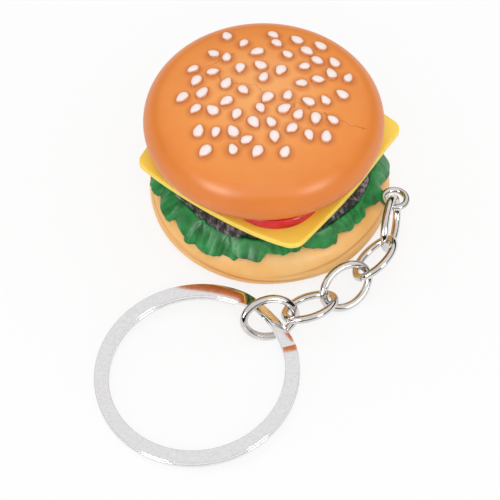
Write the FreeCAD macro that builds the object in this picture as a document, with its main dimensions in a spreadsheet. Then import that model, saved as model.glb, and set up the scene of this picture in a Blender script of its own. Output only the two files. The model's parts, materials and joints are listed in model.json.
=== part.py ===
import FreeCAD, Part
import math
import os
import Sketcher

# A small moulded hamburger on a short chain with a flat split key ring.
# Millimetres, +Z up. The origin is the middle of the bottom bun's flat underside, and the chain leaves
# the bun on its right, at +X, and lies in front of it, towards -Y.

doc = FreeCAD.newDocument("burger_keychain")
sheet = doc.addObject("Spreadsheet::Sheet", "dims")

# Driving dimensions: alias, value and what it measures, one row each.
DRIVING = [
    ("bun_radius", 18.7, "bottom bun, widest"),
    ("bottom_bun_height", 7.4, "flat underside to flat seat"),
    ("bottom_bun_belly", 2.9, "height of the widest circle and radius of the lower edge"),
    ("lettuce_core", 6.0, "radius of the hole in the lettuce ring"),
    ("lettuce_thickness", 1.0, "lettuce under the patty"),
    ("lettuce_inset", 1.4, "the frill's mean edge inside the bun's widest circle"),
    ("lettuce_step", 0.1, "step in which the frill's reach is given"),
    ("lettuce_edge", 0.6, "thickness of the frilled edge"),
    ("lettuce_rise", 0.9, "how far the frill stands up beside the patty"),
    ("lettuce_crest", 0.6, "width of the frill's top"),
    ("lettuce_wave", 0.3, "height of the ruffles"),
    ("lettuce_slope", 0.4, "how steeply the frill hangs over the bun's shoulder"),
    ("glue_film", 0.03, "glue above and below the lettuce"),
    ("patty_inset", 3.3, "the patty's rim inside the bun's widest circle"),
    ("patty_height", 3.35, "patty, thickness"),
    ("patty_edge", 1.4, "radius of the patty's rounded rim"),
    ("patty_play", 0.2, "gap between the patty and the frill"),
    ("cheese_reach", 20.5, "axis to a corner before rounding"),
    ("cheese_side", 88.0, "radius of the bowed sides"),
    ("cheese_thickness", 1.1, "cheese slice"),
    ("cheese_corner", 2.0, "radius of the rounded corners"),
    ("cheese_turn", 10.0, "turn of the slice about the axis, degrees"),
    ("tomato_radius", 7.0, "tomato slice"),
    ("tomato_thickness", 2.0, "tomato slice"),
    ("tomato_edge", 0.6, "radius of the slice's rounded rim"),
    ("tomato_circle", 9.95, "axis to the middle of a slice"),
    ("tomato_turn", -86.0, "place of the front slice, degrees"),
    ("tomato_offset", 0.3, "the slices stand this far behind the axis"),
    ("top_bun_radius", 18.0, "top bun, widest"),
    ("top_bun_lower", 3.5, "underside to the widest circle"),
    ("top_bun_crown", 6.1, "widest circle to the crown"),
    ("top_bun_shoulder", 4.5, "radius of the rounded shoulder"),
    ("top_bun_shift", -1.0, "the top bun sits this far to the left"),
    ("seed_grid", 0.5, "step in which the seeds' places are given"),
    ("seed_length", 2.3, "sesame seed"),
    ("seed_width", 1.6, "sesame seed"),
    ("seed_height", 1.1, "sesame seed, half of it above the bun"),
    ("eye_wire", 1.0, "wire of the eye pin"),
    ("eye_loop", 1.8, "radius of the eye, middle of the wire"),
    ("eye_shank", 9.0, "straight shank, eye to tip"),
    ("eye_drop", 1.1, "shank below the bun's flat seat"),
    ("eye_clear", 0.1, "gap between the eye and the bun's shoulder"),
    ("eye_azimuth", -16.0, "direction of the shank, degrees"),
    ("eye_tilt", 4.0, "the eye's front edge is turned up, degrees"),
    ("eye_pull", 14.0, "where the first link hangs on the eye, degrees"),
    ("shank_play", 0.03, "glue round the shank"),
    ("link_wire", 1.2, "wire of the chain links"),
    ("link_length", 9.2, "outside length of a link"),
    ("link_width", 7.4, "outside width of a link"),
    ("link_end", 2.3, "radius of a link's ends, middle of the wire"),
    ("link_seam", 0.12, "gap where the wire's ends butt"),
    ("link_play", 0.3, "slack between two links"),
    ("ring_outside", 30.0, "outside diameter of the key ring"),
    ("ring_band", 2.1, "width of the flat wire"),
    ("ring_wire", 0.5, "thickness of one turn of the flat wire"),
    ("ring_gap", 0.42, "gap between the two turns"),
    ("ring_step", 44.0, "arc of the sloping step, degrees"),
    ("ring_end_play", 3.0, "wire ends stop short of the step, degrees"),
    ("ring_heading", -140.0, "direction from the last link to the ring's middle, degrees"),
    ("ring_dip", 5.3, "slope of the ring down to the floor, degrees"),
    ("link_1_heading", -103.0, "lie of the link next to the bun, degrees"),
    ("link_1_dip", 14.0, "degrees"),
    ("link_1_roll", -78.0, "degrees"),
    ("link_2_heading", -125.0, "lie of the second link, degrees"),
    ("link_2_dip", 7.0, "degrees"),
    ("link_2_roll", 42.0, "degrees"),
    ("link_3_heading", -144.0, "lie of the third link, degrees"),
    ("link_3_dip", 9.0, "degrees"),
    ("link_3_roll", -56.0, "degrees"),
    ("link_4_heading", -152.0, "lie of the fourth link, degrees"),
    ("link_4_dip", 1.0, "degrees"),
    ("link_4_roll", 28.0, "degrees"),
    ("link_5_heading", -166.0, "lie of the link that carries the ring, degrees"),
    ("link_5_dip", -10.0, "degrees"),
    ("link_5_roll", -63.0, "degrees"),
]

# Dimensions that follow from the driving ones.
DERIVED = [
    ("bottom_bun_shoulder", "bottom_bun_height - bottom_bun_belly", "radius of the upper edge"),
    ("bottom_bun_foot", "bun_radius - bottom_bun_belly", "radius of the flat underside"),
    ("bottom_bun_seat", "bun_radius - bottom_bun_shoulder", "radius of the flat seat"),
    ("lettuce_reach", "bun_radius - lettuce_inset", "mean radius of the frilled edge"),
    ("patty_radius", "bun_radius - patty_inset", "patty, widest"),
    ("lettuce_bottom", "bottom_bun_height + glue_film", "height"),
    ("lettuce_top", "lettuce_bottom + lettuce_thickness", "height"),
    ("lettuce_rim", "patty_radius + patty_play", "radius inside the frill"),
    ("patty_bottom", "lettuce_top + glue_film", "height"),
    ("patty_lower", "patty_bottom + patty_edge", "height"),
    ("patty_top", "patty_bottom + patty_height", "height"),
    ("patty_upper", "patty_top - patty_edge", "height"),
    ("patty_flat", "patty_radius - patty_edge", "radius of the flat faces"),
    ("cheese_top", "patty_top + cheese_thickness", "height"),
    ("tomato_flat", "tomato_radius - tomato_edge", "radius of the flat faces"),
    ("tomato_upper", "tomato_thickness - tomato_edge", "height above its underside"),
    ("tomato_top", "cheese_top + tomato_thickness", "height"),
    ("top_bun_flat", "top_bun_radius - top_bun_lower", "radius of the flat underside"),
    ("top_bun_apex", "top_bun_lower + top_bun_crown", "height above its underside"),
    ("shoulder_ring", "top_bun_radius - top_bun_shoulder", "radius of the shoulder's centre"),
    (
        "crown_radius",
        "(shoulder_ring ^ 2 + top_bun_crown ^ 2 - top_bun_shoulder ^ 2) / (2 * (top_bun_crown - top_bun_shoulder))",
        "radius of the dome",
    ),
    ("crown_edge", "crown_radius * shoulder_ring / (crown_radius - top_bun_shoulder)", "radius of the dome's edge"),
    (
        "crown_start",
        "top_bun_apex - crown_radius * (top_bun_crown - top_bun_shoulder) / (crown_radius - top_bun_shoulder)",
        "height of the dome's edge",
    ),
    ("eye_height", "bottom_bun_height - eye_drop", "shank above the underside"),
    ("eye_off", "bottom_bun_shoulder + eye_clear + eye_wire / 2", "the shoulder's centre to the eye's inner wire"),
    (
        "eye_stand",
        "bottom_bun_seat + sqrt(eye_off ^ 2 - (eye_height - bottom_bun_belly) ^ 2) + eye_loop",
        "axis to the middle of the eye",
    ),
    ("link_half_length", "(link_length - link_wire) / 2", "middle of the wire"),
    ("link_half_width", "(link_width - link_wire) / 2", "middle of the wire"),
    ("link_end_centre", "link_half_length - link_end", "middle of the link to the centre of an end"),
    (
        "link_side",
        "(link_end_centre ^ 2 + link_half_width ^ 2 - link_end ^ 2) / (2 * (link_half_width - link_end))",
        "radius of a link's sides, middle of the wire",
    ),
    ("link_side_centre", "link_side - link_half_width", "middle of the link to the centre of a side"),
    ("link_end_half", "atan2(link_side_centre; link_end_centre) / 1 deg", "half of an end's arc, degrees"),
    ("link_end_arc", "2 * link_end_half", "degrees"),
    ("link_side_arc", "180 - link_end_arc", "degrees"),
    ("link_seam_arc", "link_seam / link_side * 180 / pi", "degrees"),
    ("link_half_side", "(link_side_arc - link_seam_arc) / 2", "side arc up to the seam, degrees"),
]

row = 0
for alias, value, meaning in DRIVING:
    row += 1
    sheet.set(f"A{row}", meaning)
    sheet.set(f"B{row}", str(value))
    sheet.setAlias(f"B{row}", alias)
for alias, formula, meaning in DERIVED:
    row += 1
    sheet.set(f"A{row}", meaning)
    sheet.set(f"B{row}", "=" + formula)
    sheet.setAlias(f"B{row}", alias)
doc.recompute()

UP = FreeCAD.Vector(0, 0, 1)
NODES = []


def size(alias):
    return float(sheet.get(alias))


def polar(radius, degrees, height=0.0):
    """A point at a distance from the axis, in a direction, at a height."""
    turn = math.radians(degrees)
    return FreeCAD.Vector(radius * math.cos(turn), radius * math.sin(turn), height)


def bind(owner, **formulas):
    """Bind properties of an object to the sheet."""
    for name, formula in formulas.items():
        owner.setExpression(name, formula)


def node(owner, name):
    """Name a finished sub-part and put it on the list that is written out."""
    owner.Label = name
    NODES.append(owner)
    return owner


def sketch_on(body, role):
    """A sketch on one of the body's own origin planes."""
    sketch = body.newObject("Sketcher::SketchObject", body.Name + "_profile")
    plane = [feature for feature in body.Origin.OriginFeatures if feature.Role == role][0]
    sketch.AttachmentSupport = [(plane, "")]
    sketch.MapMode = "FlatFace"
    return sketch


def arc(start, end, radius):
    """An arc that runs anticlockwise from one point to another."""
    chord = end - start
    inward = FreeCAD.Vector(-chord.y, chord.x, 0).normalize()
    centre = (start + end) * 0.5 + inward * math.sqrt(radius ** 2 - chord.Length ** 2 / 4)
    first = math.atan2(start.y - centre.y, start.x - centre.x)
    last = math.atan2(end.y - centre.y, end.x - centre.x)
    return Part.ArcOfCircle(Part.Circle(centre, UP, radius), first, last)


def coordinate(name):
    """The value of a corner's size; a minus sign puts it on the other side and None on the axis."""
    if name is None:
        return 0.0
    if name.startswith("-"):
        return -size(name[1:])
    return size(name)


def hold(sketch, kind, axis, edge, name):
    """Hold the start of an edge at a named distance from the sketch's origin, or on an axis."""
    if name is None:
        sketch.addConstraint(Sketcher.Constraint("PointOnObject", edge, 1, axis))
        return
    alias = name.lstrip("-")
    ends = (-1, 1, edge, 1)
    if name.startswith("-"):
        ends = (edge, 1, -1, 1)
    number = sketch.addConstraint(Sketcher.Constraint(kind, *ends, size(alias)))
    sketch.setExpression(f"Constraints[{number}]", f"dims.{alias}")


def outline(sketch, corners):
    """A closed outline, anticlockwise: each corner's two sizes and the radius of the edge that follows."""
    points = [FreeCAD.Vector(coordinate(x), coordinate(y), 0) for x, y, bend in corners]
    points.append(points[0])
    for edge, (x, y, bend) in enumerate(corners):
        if bend is None:
            sketch.addGeometry(Part.LineSegment(points[edge], points[edge + 1]))
        else:
            sketch.addGeometry(arc(points[edge], points[edge + 1], size(bend)))
    for edge, (x, y, bend) in enumerate(corners):
        following = (edge + 1) % len(corners)
        sketch.addConstraint(Sketcher.Constraint("Coincident", edge, 2, following, 1))
    for edge, (x, y, bend) in enumerate(corners):
        hold(sketch, "DistanceX", -2, edge, x)
        hold(sketch, "DistanceY", -1, edge, y)
        if bend is not None:
            number = sketch.addConstraint(Sketcher.Constraint("Radius", edge, size(bend)))
            sketch.setExpression(f"Constraints[{number}]", f"dims.{bend}")


def turned(name, corners):
    """A body turned about the upright axis."""
    body = doc.addObject("PartDesign::Body", name)
    sketch = sketch_on(body, "XZ_Plane")
    outline(sketch, corners)
    turn = body.newObject("PartDesign::Revolution", name + "_turn")
    turn.Profile = sketch
    turn.ReferenceAxis = (sketch, ["V_Axis"])
    turn.Angle = 360
    sketch.Visibility = False
    return body


# The eye pin stands out of the bun's side. Its eye lies almost flat, with the front edge turned up.
outward = polar(1.0, size("eye_azimuth"))
sideways = polar(1.0, size("eye_azimuth") - 90)
tilt = math.radians(size("eye_tilt"))
eye_side = sideways * math.cos(tilt) + UP * math.sin(tilt)
eye_centre = polar(size("eye_stand"), size("eye_azimuth"), size("eye_height"))
shank_turn = FreeCAD.Rotation(UP, outward * -1)

eye_ring = doc.addObject("Part::Torus", "eye_ring")
bind(eye_ring, Radius1="dims.eye_loop", Radius2="dims.eye_wire / 2")
eye_ring.Placement = FreeCAD.Placement(eye_centre, FreeCAD.Rotation(outward, eye_side, FreeCAD.Vector(), "XYZ"))
shank = doc.addObject("Part::Cylinder", "shank")
bind(shank, Radius="dims.eye_wire / 2", Height="dims.eye_shank")
shank.Placement = FreeCAD.Placement(eye_centre - outward * size("eye_loop"), shank_turn)
eye_pin = doc.addObject("Part::Fuse", "eye_pin_wire")
eye_pin.Base = eye_ring
eye_pin.Tool = shank

# The bottom bun: a flat round with a rounded rim and a blind hole for the pin's shank.
bottom_round = turned(
    "bottom_round",
    [
        (None, None, None),
        ("bottom_bun_foot", None, "bottom_bun_belly"),
        ("bun_radius", "bottom_bun_belly", "bottom_bun_shoulder"),
        ("bottom_bun_seat", "bottom_bun_height", None),
        (None, "bottom_bun_height", None),
    ],
)
bore = doc.addObject("Part::Cylinder", "shank_bore")
bind(bore, Radius="dims.eye_wire / 2 + dims.shank_play", Height="dims.eye_shank + dims.shank_play")
bore.Placement = FreeCAD.Placement(eye_centre - outward * size("eye_loop"), shank_turn)
bottom_bun = doc.addObject("Part::Cut", "bottom_bun_bored")
bottom_bun.Base = bottom_round
bottom_bun.Tool = bore
node(bottom_bun, "bottom_bun")

# The lettuce is one moulded ring. Its frill reaches further out at some places round the bun than at others,
# hangs over the bun's shoulder and stands up round the patty. One entry every twenty degrees from the right,
# anticlockwise: how many steps the frill is out from its mean reach.
FRILL = [9, 7, -1, 5, 9, 1, -3, 5, 11, 13, 11, 2, 6, 3, -14, -15, -13, -5]
sections = []
for place, steps in enumerate(FRILL):
    direction = place * 360 / len(FRILL)
    ruffle = size("lettuce_wave") * (-1) ** place
    reach = size("lettuce_reach") + steps * size("lettuce_step")
    rim = size("lettuce_rim")
    edge = size("lettuce_bottom") - (reach - rim) * (size("lettuce_slope") + ruffle / 2)
    crest = size("lettuce_top") + size("lettuce_rise") + ruffle
    corners = [
        (size("lettuce_core"), size("lettuce_bottom")),
        (rim, size("lettuce_bottom")),
        (reach, edge),
        (reach, edge + size("lettuce_edge")),
        (rim + size("lettuce_crest"), crest),
        (rim, crest),
        (rim, size("lettuce_top")),
        (size("lettuce_core"), size("lettuce_top")),
    ]
    points = [polar(radius, direction, height) for radius, height in corners]
    sections.append(Part.makePolygon(points + points[:1]))
lettuce = doc.addObject("Part::Feature", "lettuce_ring")
lettuce.Shape = Part.makeLoft(sections, True, False, True)
node(lettuce, "lettuce")

# The patty is a thick round with a soft rim.
patty = turned(
    "patty_round",
    [
        (None, "patty_bottom", None),
        ("patty_flat", "patty_bottom", "patty_edge"),
        ("patty_radius", "patty_lower", None),
        ("patty_radius", "patty_upper", "patty_edge"),
        ("patty_flat", "patty_top", None),
        (None, "patty_top", None),
    ],
)
node(patty, "patty")

# The cheese slice: a square with slightly bowed sides and rounded corners.
cheese = doc.addObject("PartDesign::Body", "cheese_square")
cheese_sketch = sketch_on(cheese, "XY_Plane")
outline(
    cheese_sketch,
    [
        ("cheese_reach", None, "cheese_side"),
        (None, "cheese_reach", "cheese_side"),
        ("-cheese_reach", None, "cheese_side"),
        (None, "-cheese_reach", "cheese_side"),
    ],
)
cheese_pad = cheese.newObject("PartDesign::Pad", "cheese_pad")
cheese_pad.Profile = cheese_sketch
bind(cheese_pad, Length="dims.cheese_thickness")
doc.recompute()
upright = []
for number, edge in enumerate(cheese_pad.Shape.Edges, start=1):
    if abs(edge.Vertexes[0].Z - edge.Vertexes[-1].Z) > 0.5 * size("cheese_thickness"):
        upright.append(f"Edge{number}")
cheese_fillet = cheese.newObject("PartDesign::Fillet", "cheese_corners")
cheese_fillet.Base = (cheese_pad, upright)
bind(cheese_fillet, Radius="dims.cheese_corner")
cheese.Placement = FreeCAD.Placement(
    FreeCAD.Vector(0, 0, size("patty_top")), FreeCAD.Rotation(UP, size("cheese_turn"))
)
node(cheese, "cheese_slice")

# Four tomato slices lie side by side on the cheese.
for quarter, side in enumerate(["front", "right", "back", "left"]):
    slice_name = f"tomato_slice_{side}"
    tomato = turned(
        f"tomato_{side}",
        [
            (None, None, None),
            ("tomato_flat", None, "tomato_edge"),
            ("tomato_radius", "tomato_edge", None),
            ("tomato_radius", "tomato_upper", "tomato_edge"),
            ("tomato_flat", "tomato_thickness", None),
            (None, "tomato_thickness", None),
        ],
    )
    spot = polar(size("tomato_circle"), size("tomato_turn") + 90 * quarter, size("cheese_top"))
    tomato.Placement = FreeCAD.Placement(spot + FreeCAD.Vector(0, size("tomato_offset"), 0), FreeCAD.Rotation())
    node(tomato, slice_name)

# The top bun: a flat underside, a rounded lower edge, a round shoulder and a shallow dome.
top_bun = turned(
    "top_round",
    [
        (None, None, None),
        ("top_bun_flat", None, "top_bun_lower"),
        ("top_bun_radius", "top_bun_lower", "top_bun_shoulder"),
        ("crown_edge", "crown_start", "crown_radius"),
        (None, "top_bun_apex", None),
    ],
)
top_place = FreeCAD.Vector(size("top_bun_shift"), 0, size("tomato_top"))
top_bun.Placement = FreeCAD.Placement(top_place, FreeCAD.Rotation())
node(top_bun, "top_bun")

# Sesame seeds lie scattered over the dome, half sunk into it: steps of the seed grid from the top bun's axis.
SEEDS = [
    (-11, 25), (3, 25), (10, 23), (-6, 21), (17, 21), (4, 21), (-15, 17), (-2, 17), (7, 16), (13, 18),
    (-11, 15), (16, 14), (21, 14), (-21, 11), (-1, 11), (12, 11), (20, 9), (-7, 10), (-15, 9), (5, 9),
    (25, 8), (-20, 6), (0, 6), (16, 6), (-11, 4), (11, 4), (-18, 1), (-6, 1), (23, 1), (-24, 0), (7, -1),
    (1, -2), (18, -2), (-11, -3), (13, -3), (-20, -5), (-15, -6), (-1, -6), (6, -6), (-8, -8), (10, -8),
    (15, -9), (20, -9), (-3, -11), (2, -11), (8, -13), (-19, -13), (-14, -14), (-9, -14), (13, -15),
    (18, -15), (3, -16), (-5, -17), (-17, -20), (-9, -20), (-2, -21), (6, -21),
]
dome_centre = top_place + UP * (size("top_bun_apex") - size("crown_radius"))
seeds = []
for number, (right, back) in enumerate(SEEDS):
    across = right * size("seed_grid")
    along = back * size("seed_grid")
    depth = math.sqrt(size("crown_radius") ** 2 - across ** 2 - along ** 2)
    normal = FreeCAD.Vector(across, along, depth).normalize()
    seed = doc.addObject("Part::Ellipsoid", f"seed_{number + 1}")
    bind(seed, Radius1="dims.seed_height / 2", Radius2="dims.seed_length / 2", Radius3="dims.seed_width / 2")
    lie = FreeCAD.Rotation(UP, normal).multiply(FreeCAD.Rotation(UP, 137.5 * number))
    seed.Placement = FreeCAD.Placement(dome_centre + normal * size("crown_radius"), lie)
    seeds.append(seed)
seed_group = doc.addObject("Part::MultiFuse", "seed_group")
seed_group.Shapes = seeds
sown = doc.addObject("Part::Cut", "seeds_on_bun")
sown.Base = seed_group
sown.Tool = top_bun
node(sown, "sesame_seeds")

node(eye_pin, "eye_pin")

# Each chain link is an oval of round wire: two end arcs and two side arcs, one of them with the butt seam.
# The links hang in one another: each starts at the far end of the one before, with a little slack.
pull = math.radians(size("eye_pull"))
heading = eye_side * math.cos(pull) + outward * math.sin(pull)
wire_end = eye_centre + heading * size("eye_loop")
wire_run = outward * math.cos(pull) - eye_side * math.sin(pull)
pitch = (size("eye_wire") + size("link_wire")) / 2 + size("link_play")
joints = []
for number in range(1, 6):
    name = f"chain_link_{number}"
    lie = FreeCAD.Rotation(*[size(f"link_{number}_{turn}") for turn in ("heading", "dip", "roll")])
    along = lie.multVec(FreeCAD.Vector(1, 0, 0))
    joints.append((name, wire_end, wire_run))
    middle = wire_end - (heading + along).normalize() * pitch + along * size("link_half_length")
    arcs = [
        (size("link_end_centre"), 0, -size("link_end_half"), "link_end", "link_end_arc"),
        (0, -size("link_side_centre"), size("link_end_half"), "link_side", "link_side_arc"),
        (-size("link_end_centre"), 0, 180 - size("link_end_half"), "link_end", "link_end_arc"),
        (0, size("link_side_centre"), 180 + size("link_end_half"), "link_side", "link_half_side"),
        (0, size("link_side_centre"), 270 + size("link_seam_arc") / 2, "link_side", "link_half_side"),
    ]
    pieces = []
    for count, (x, y, start, radius, sweep) in enumerate(arcs, start=1):
        piece = doc.addObject("Part::Torus", f"link_{number}_arc_{count}")
        bind(piece, Radius1=f"dims.{radius}", Radius2="dims.link_wire / 2", Angle3=f"dims.{sweep}")
        piece.Placement = FreeCAD.Placement(FreeCAD.Vector(x, y, 0), FreeCAD.Rotation(UP, start))
        pieces.append(piece)
    link = doc.addObject("Part::MultiFuse", f"link_{number}_wire")
    link.Shapes = pieces
    link.Placement = FreeCAD.Placement(middle, lie)
    node(link, name)
    heading = along
    wire_end = middle + along * size("link_half_length")
    wire_run = lie.multVec(FreeCAD.Vector(0, 1, 0))
    pitch = size("link_wire") + size("link_play")

# The split ring is flat wire wound twice round. A sloping step joins the upper turn to the lower one, and the
# last chain link hangs on that step.
ring_inside = size("ring_outside") / 2 - size("ring_band")
ring_middle = size("ring_outside") / 2 - size("ring_band") / 2
rise = size("ring_wire") + size("ring_gap")
step_top = 180 + size("ring_step") / 2
step_foot = 180 - size("ring_step") / 2
sweep = 360 - size("ring_step") - size("ring_end_play")


def wire_section(degrees, height):
    """The flat wire's outline across the wire at one place round the ring."""
    half = size("ring_wire") / 2
    inner = ring_inside
    outer = size("ring_outside") / 2
    corners = [(inner, height - half), (outer, height - half), (outer, height + half), (inner, height + half)]
    points = [polar(radius, degrees, level) for radius, level in corners]
    return Part.makePolygon(points + points[:1])


def step_height(share):
    """Height of the wire's middle along the step, from the upper turn to the lower one."""
    return rise / 2 * math.cos(math.pi * share)


upper = Part.Face(wire_section(step_top, rise / 2)).revolve(FreeCAD.Vector(), UP, sweep)
lower = Part.Face(wire_section(step_foot, -rise / 2)).revolve(FreeCAD.Vector(), UP, -sweep)
stations = [count / 8 for count in range(9)]
step_sections = [wire_section(step_top - size("ring_step") * share, step_height(share)) for share in stations]
step = Part.makeLoft(step_sections, True, False)
ring = doc.addObject("Part::Feature", "ring_wire")
ring.Shape = upper.fuse([step, lower])
ring_lie = FreeCAD.Rotation(size("ring_heading"), size("ring_dip"), 0)
ring_along = ring_lie.multVec(FreeCAD.Vector(1, 0, 0))
ring.Placement = FreeCAD.Placement(middle + ring_along * ring_middle, ring_lie)
node(ring, "split_ring")
joints.append(("split_ring", middle, ring_lie.multVec(FreeCAD.Vector(0, 1, 0))))

# The least gap between the ring's turns, measured on points along the wire's facing sides.
wire = []
for count in range(721):
    degrees = step_top + sweep - count * (2 * sweep + size("ring_step")) / 720
    share = min(1.0, max(0.0, (step_top - degrees) / size("ring_step")))
    wire.append((degrees, polar(ring_middle, degrees, step_height(share))))
gaps = []
for degrees, point in wire:
    for other, facing in wire:
        if degrees - other > 180:
            gaps.append((point - UP * size("ring_wire")).distanceToPoint(facing))
print(f"split ring, least gap to itself: {min(gaps):.3f} mm")

doc.recompute()
for owner in doc.Objects:
    if "Invalid" in owner.State or "Error" in owner.State:
        raise RuntimeError(f"{owner.Name} did not build")
    if hasattr(owner, "Shape") and owner.isDerivedFrom("Part::Feature"):
        if owner.Shape.isNull() or not owner.Shape.isValid():
            raise RuntimeError(f"{owner.Name} has no sound shape")

for name, point, axis in joints:
    print(f"joint of {name}: at {point.x:.4f} {point.y:.4f} {point.z:.4f} along {axis.x:.5f} {axis.y:.5f} {axis.z:.5f}")

os.makedirs("parts", exist_ok=True)
for owner in NODES:
    owner.Shape.exportStep(f"parts/{owner.Label}.step")
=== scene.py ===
import json
import math

import bpy
from mathutils import Matrix, Vector, noise


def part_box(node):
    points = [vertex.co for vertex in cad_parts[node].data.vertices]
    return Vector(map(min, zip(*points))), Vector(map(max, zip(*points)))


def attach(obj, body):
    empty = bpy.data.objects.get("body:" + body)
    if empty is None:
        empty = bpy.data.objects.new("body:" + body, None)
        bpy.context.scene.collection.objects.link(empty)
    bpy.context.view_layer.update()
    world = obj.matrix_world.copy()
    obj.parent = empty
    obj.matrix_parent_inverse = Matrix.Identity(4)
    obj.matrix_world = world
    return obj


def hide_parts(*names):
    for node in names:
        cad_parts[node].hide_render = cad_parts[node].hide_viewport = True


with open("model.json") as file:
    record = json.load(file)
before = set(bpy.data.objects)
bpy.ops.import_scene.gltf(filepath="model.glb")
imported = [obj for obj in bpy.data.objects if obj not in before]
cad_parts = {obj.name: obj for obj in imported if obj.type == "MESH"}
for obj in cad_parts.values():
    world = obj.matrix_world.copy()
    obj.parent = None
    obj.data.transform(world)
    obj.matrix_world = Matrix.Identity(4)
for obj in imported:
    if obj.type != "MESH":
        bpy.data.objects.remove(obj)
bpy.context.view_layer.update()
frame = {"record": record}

# Bottom bun: the foot of the charm, a soft PVC moulding in the pale tone of an unbaked crust.
# It is turned from its outline. Two shallow mould lines run round its side, and the side wobbles a little
# as on a master that was carved by hand. Sizes in this file are in millimetres unless a comment says more.
MM = 0.001
WELD = 0.001 * MM


def turn(name, outline, steps):
    """A piece turned about the upright axis from an outline of (radius, height) in millimetres."""
    bpy.ops.object.select_all(action="DESELECT")
    bpy.ops.mesh.primitive_plane_add(size=MM, location=(0, 0, 0))
    piece = bpy.context.object
    piece.name = name
    bpy.ops.object.mode_set(mode="EDIT")
    bpy.ops.mesh.select_all(action="SELECT")
    bpy.ops.mesh.merge(type="CENTER")
    bpy.ops.transform.translate(value=(outline[0][0] * MM, 0, outline[0][1] * MM))
    for (r0, z0), (r1, z1) in zip(outline, outline[1:]):
        move = {"value": ((r1 - r0) * MM, 0, (z1 - z0) * MM)}
        bpy.ops.mesh.extrude_vertices_move(TRANSFORM_OT_translate=move)
    bpy.ops.mesh.select_all(action="SELECT")
    bpy.ops.mesh.spin(steps=steps, angle=math.tau, center=(0, 0, 0), axis=(0, 0, 1))
    bpy.ops.mesh.select_all(action="SELECT")
    bpy.ops.mesh.remove_doubles(threshold=WELD)
    bpy.ops.mesh.normals_make_consistent(inside=False)
    bpy.ops.object.mode_set(mode="OBJECT")
    bpy.ops.object.shade_smooth()
    return piece


def bend(x, z, radius, first, last, count):
    """Points along an arc of an outline, with its angles in degrees."""
    turns = [math.radians(first + (last - first) * i / count) for i in range(count + 1)]
    return [(x + radius * math.cos(t), z + radius * math.sin(t)) for t in turns]


def round_noise(angle, waves, layer):
    """Noise in a direction round the burger, which closes on itself after one turn."""
    return noise.noise(Vector((waves * math.cos(angle), waves * math.sin(angle), layer)))


def linear(code):
    """An sRGB hex colour as linear RGBA."""
    parts = [int(code[i : i + 2], 16) / 255 for i in (1, 3, 5)]
    return [p / 12.92 if p <= 0.04045 else ((p + 0.055) / 1.055) ** 2.4 for p in parts] + [1.0]


def add_node(tree, kind, settings, inputs):
    """Add a node, set its options, and set or link its inputs. Stops are a ramp's places and colours."""
    made = tree.nodes.new(kind)
    for name, value in settings.items():
        if name == "stops":
            for _ in value[2:]:
                made.color_ramp.elements.new(0.5)
            for element, (place, code) in zip(made.color_ramp.elements, value):
                element.position = place
                element.color = linear(code)
        else:
            setattr(made, name, value)
    for name, value in inputs.items():
        if isinstance(value, bpy.types.NodeSocket):
            tree.links.new(value, made.inputs[name])
        else:
            made.inputs[name].default_value = value
    return made


def start_material(name):
    """A fresh material with its tree, surface shader and object coordinates."""
    material = bpy.data.materials.new(name)
    material.use_nodes = True
    tree = material.node_tree
    shader = tree.nodes["Principled BSDF"]
    place = tree.nodes.new("ShaderNodeTexCoord").outputs["Object"]
    return material, tree, shader, place


def dress(piece, material, body, node):
    """Give a piece its material, hang it under its body's empty, and hide the CAD part it stands for."""
    piece.data.materials.append(material)
    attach(piece, body)
    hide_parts(node)


BUN_RADIUS = 18.7
BUN_BELLY = 2.9
BUN_HEIGHT = 7.4
BUN_SHOULDER = BUN_HEIGHT - BUN_BELLY

# The side starts outside the flat faces and eases in. It sways, is trimmed so that it stays inside the
# solid, and is tucked in at the front of the foot.
BUN_FLAT = 14.5
BUN_EASE = 1.5
BUN_SWAY = 0.16
BUN_SWAY_WAVES = 2.2
BUN_SWAY_CLIMB = 0.15
BUN_TRIM = 0.1
BUN_TUCK = 0.5
BUN_TUCK_TOP = 2.6

# The mould lines fade in and out round the bun. Each has its height, its depth and where its waves start
# in radians.
LINE_DEPTH = 0.16
LINE_HALF = 0.17
LINE_SWING = 0.4
LINE_RIPPLE = 0.14
LINE_FADE = 0.45
MOULD_LINES = [(3.1, LINE_DEPTH, 0.4), (4.2, 0.13, 2.1)]

bottom_outline = [(0, 0), (8, 0)]
bottom_outline += bend(BUN_RADIUS - BUN_BELLY, BUN_BELLY, BUN_BELLY, -90, 0, 30)
bottom_outline += bend(BUN_RADIUS - BUN_SHOULDER, BUN_BELLY, BUN_SHOULDER, 0, 90, 30)[1:]
bottom_outline += [(7, BUN_HEIGHT), (0, BUN_HEIGHT)]
bottom_bun = turn("bottom_bun_crust", bottom_outline, 240)
# How deep each point lies in a mould line, kept for the painted shade in the grooves.
crease_shade_values = bottom_bun.data.attributes.new("crease", "FLOAT", "POINT")
for vertex in bottom_bun.data.vertices:
    x, y, z = vertex.co / MM
    radius = math.hypot(x, y)
    if radius < BUN_FLAT:
        continue
    around = math.atan2(y, x)
    side = min(1.0, (radius - BUN_FLAT) / BUN_EASE)
    sway = BUN_SWAY * round_noise(around, BUN_SWAY_WAVES, z * BUN_SWAY_CLIMB)
    tuck = BUN_TUCK * max(0.0, -math.sin(around)) ** 2 * max(0.0, 1 - z / BUN_TUCK_TOP)
    cut = 0.0
    for height, depth, phase in MOULD_LINES:
        line = height + LINE_SWING * math.sin(2 * around + phase) + LINE_RIPPLE * math.sin(5 * around)
        fade = 1 - LINE_FADE + LINE_FADE * math.sin(3 * around + 2 * phase)
        cut += depth * fade * math.exp(-(((z - line) / LINE_HALF) ** 2))
    crease_shade_values.data[vertex.index].value = min(1.0, cut / LINE_DEPTH)
    scale = 1 + side * (sway - BUN_TRIM - cut - tuck) / radius
    vertex.co.x *= scale
    vertex.co.y *= scale
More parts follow.
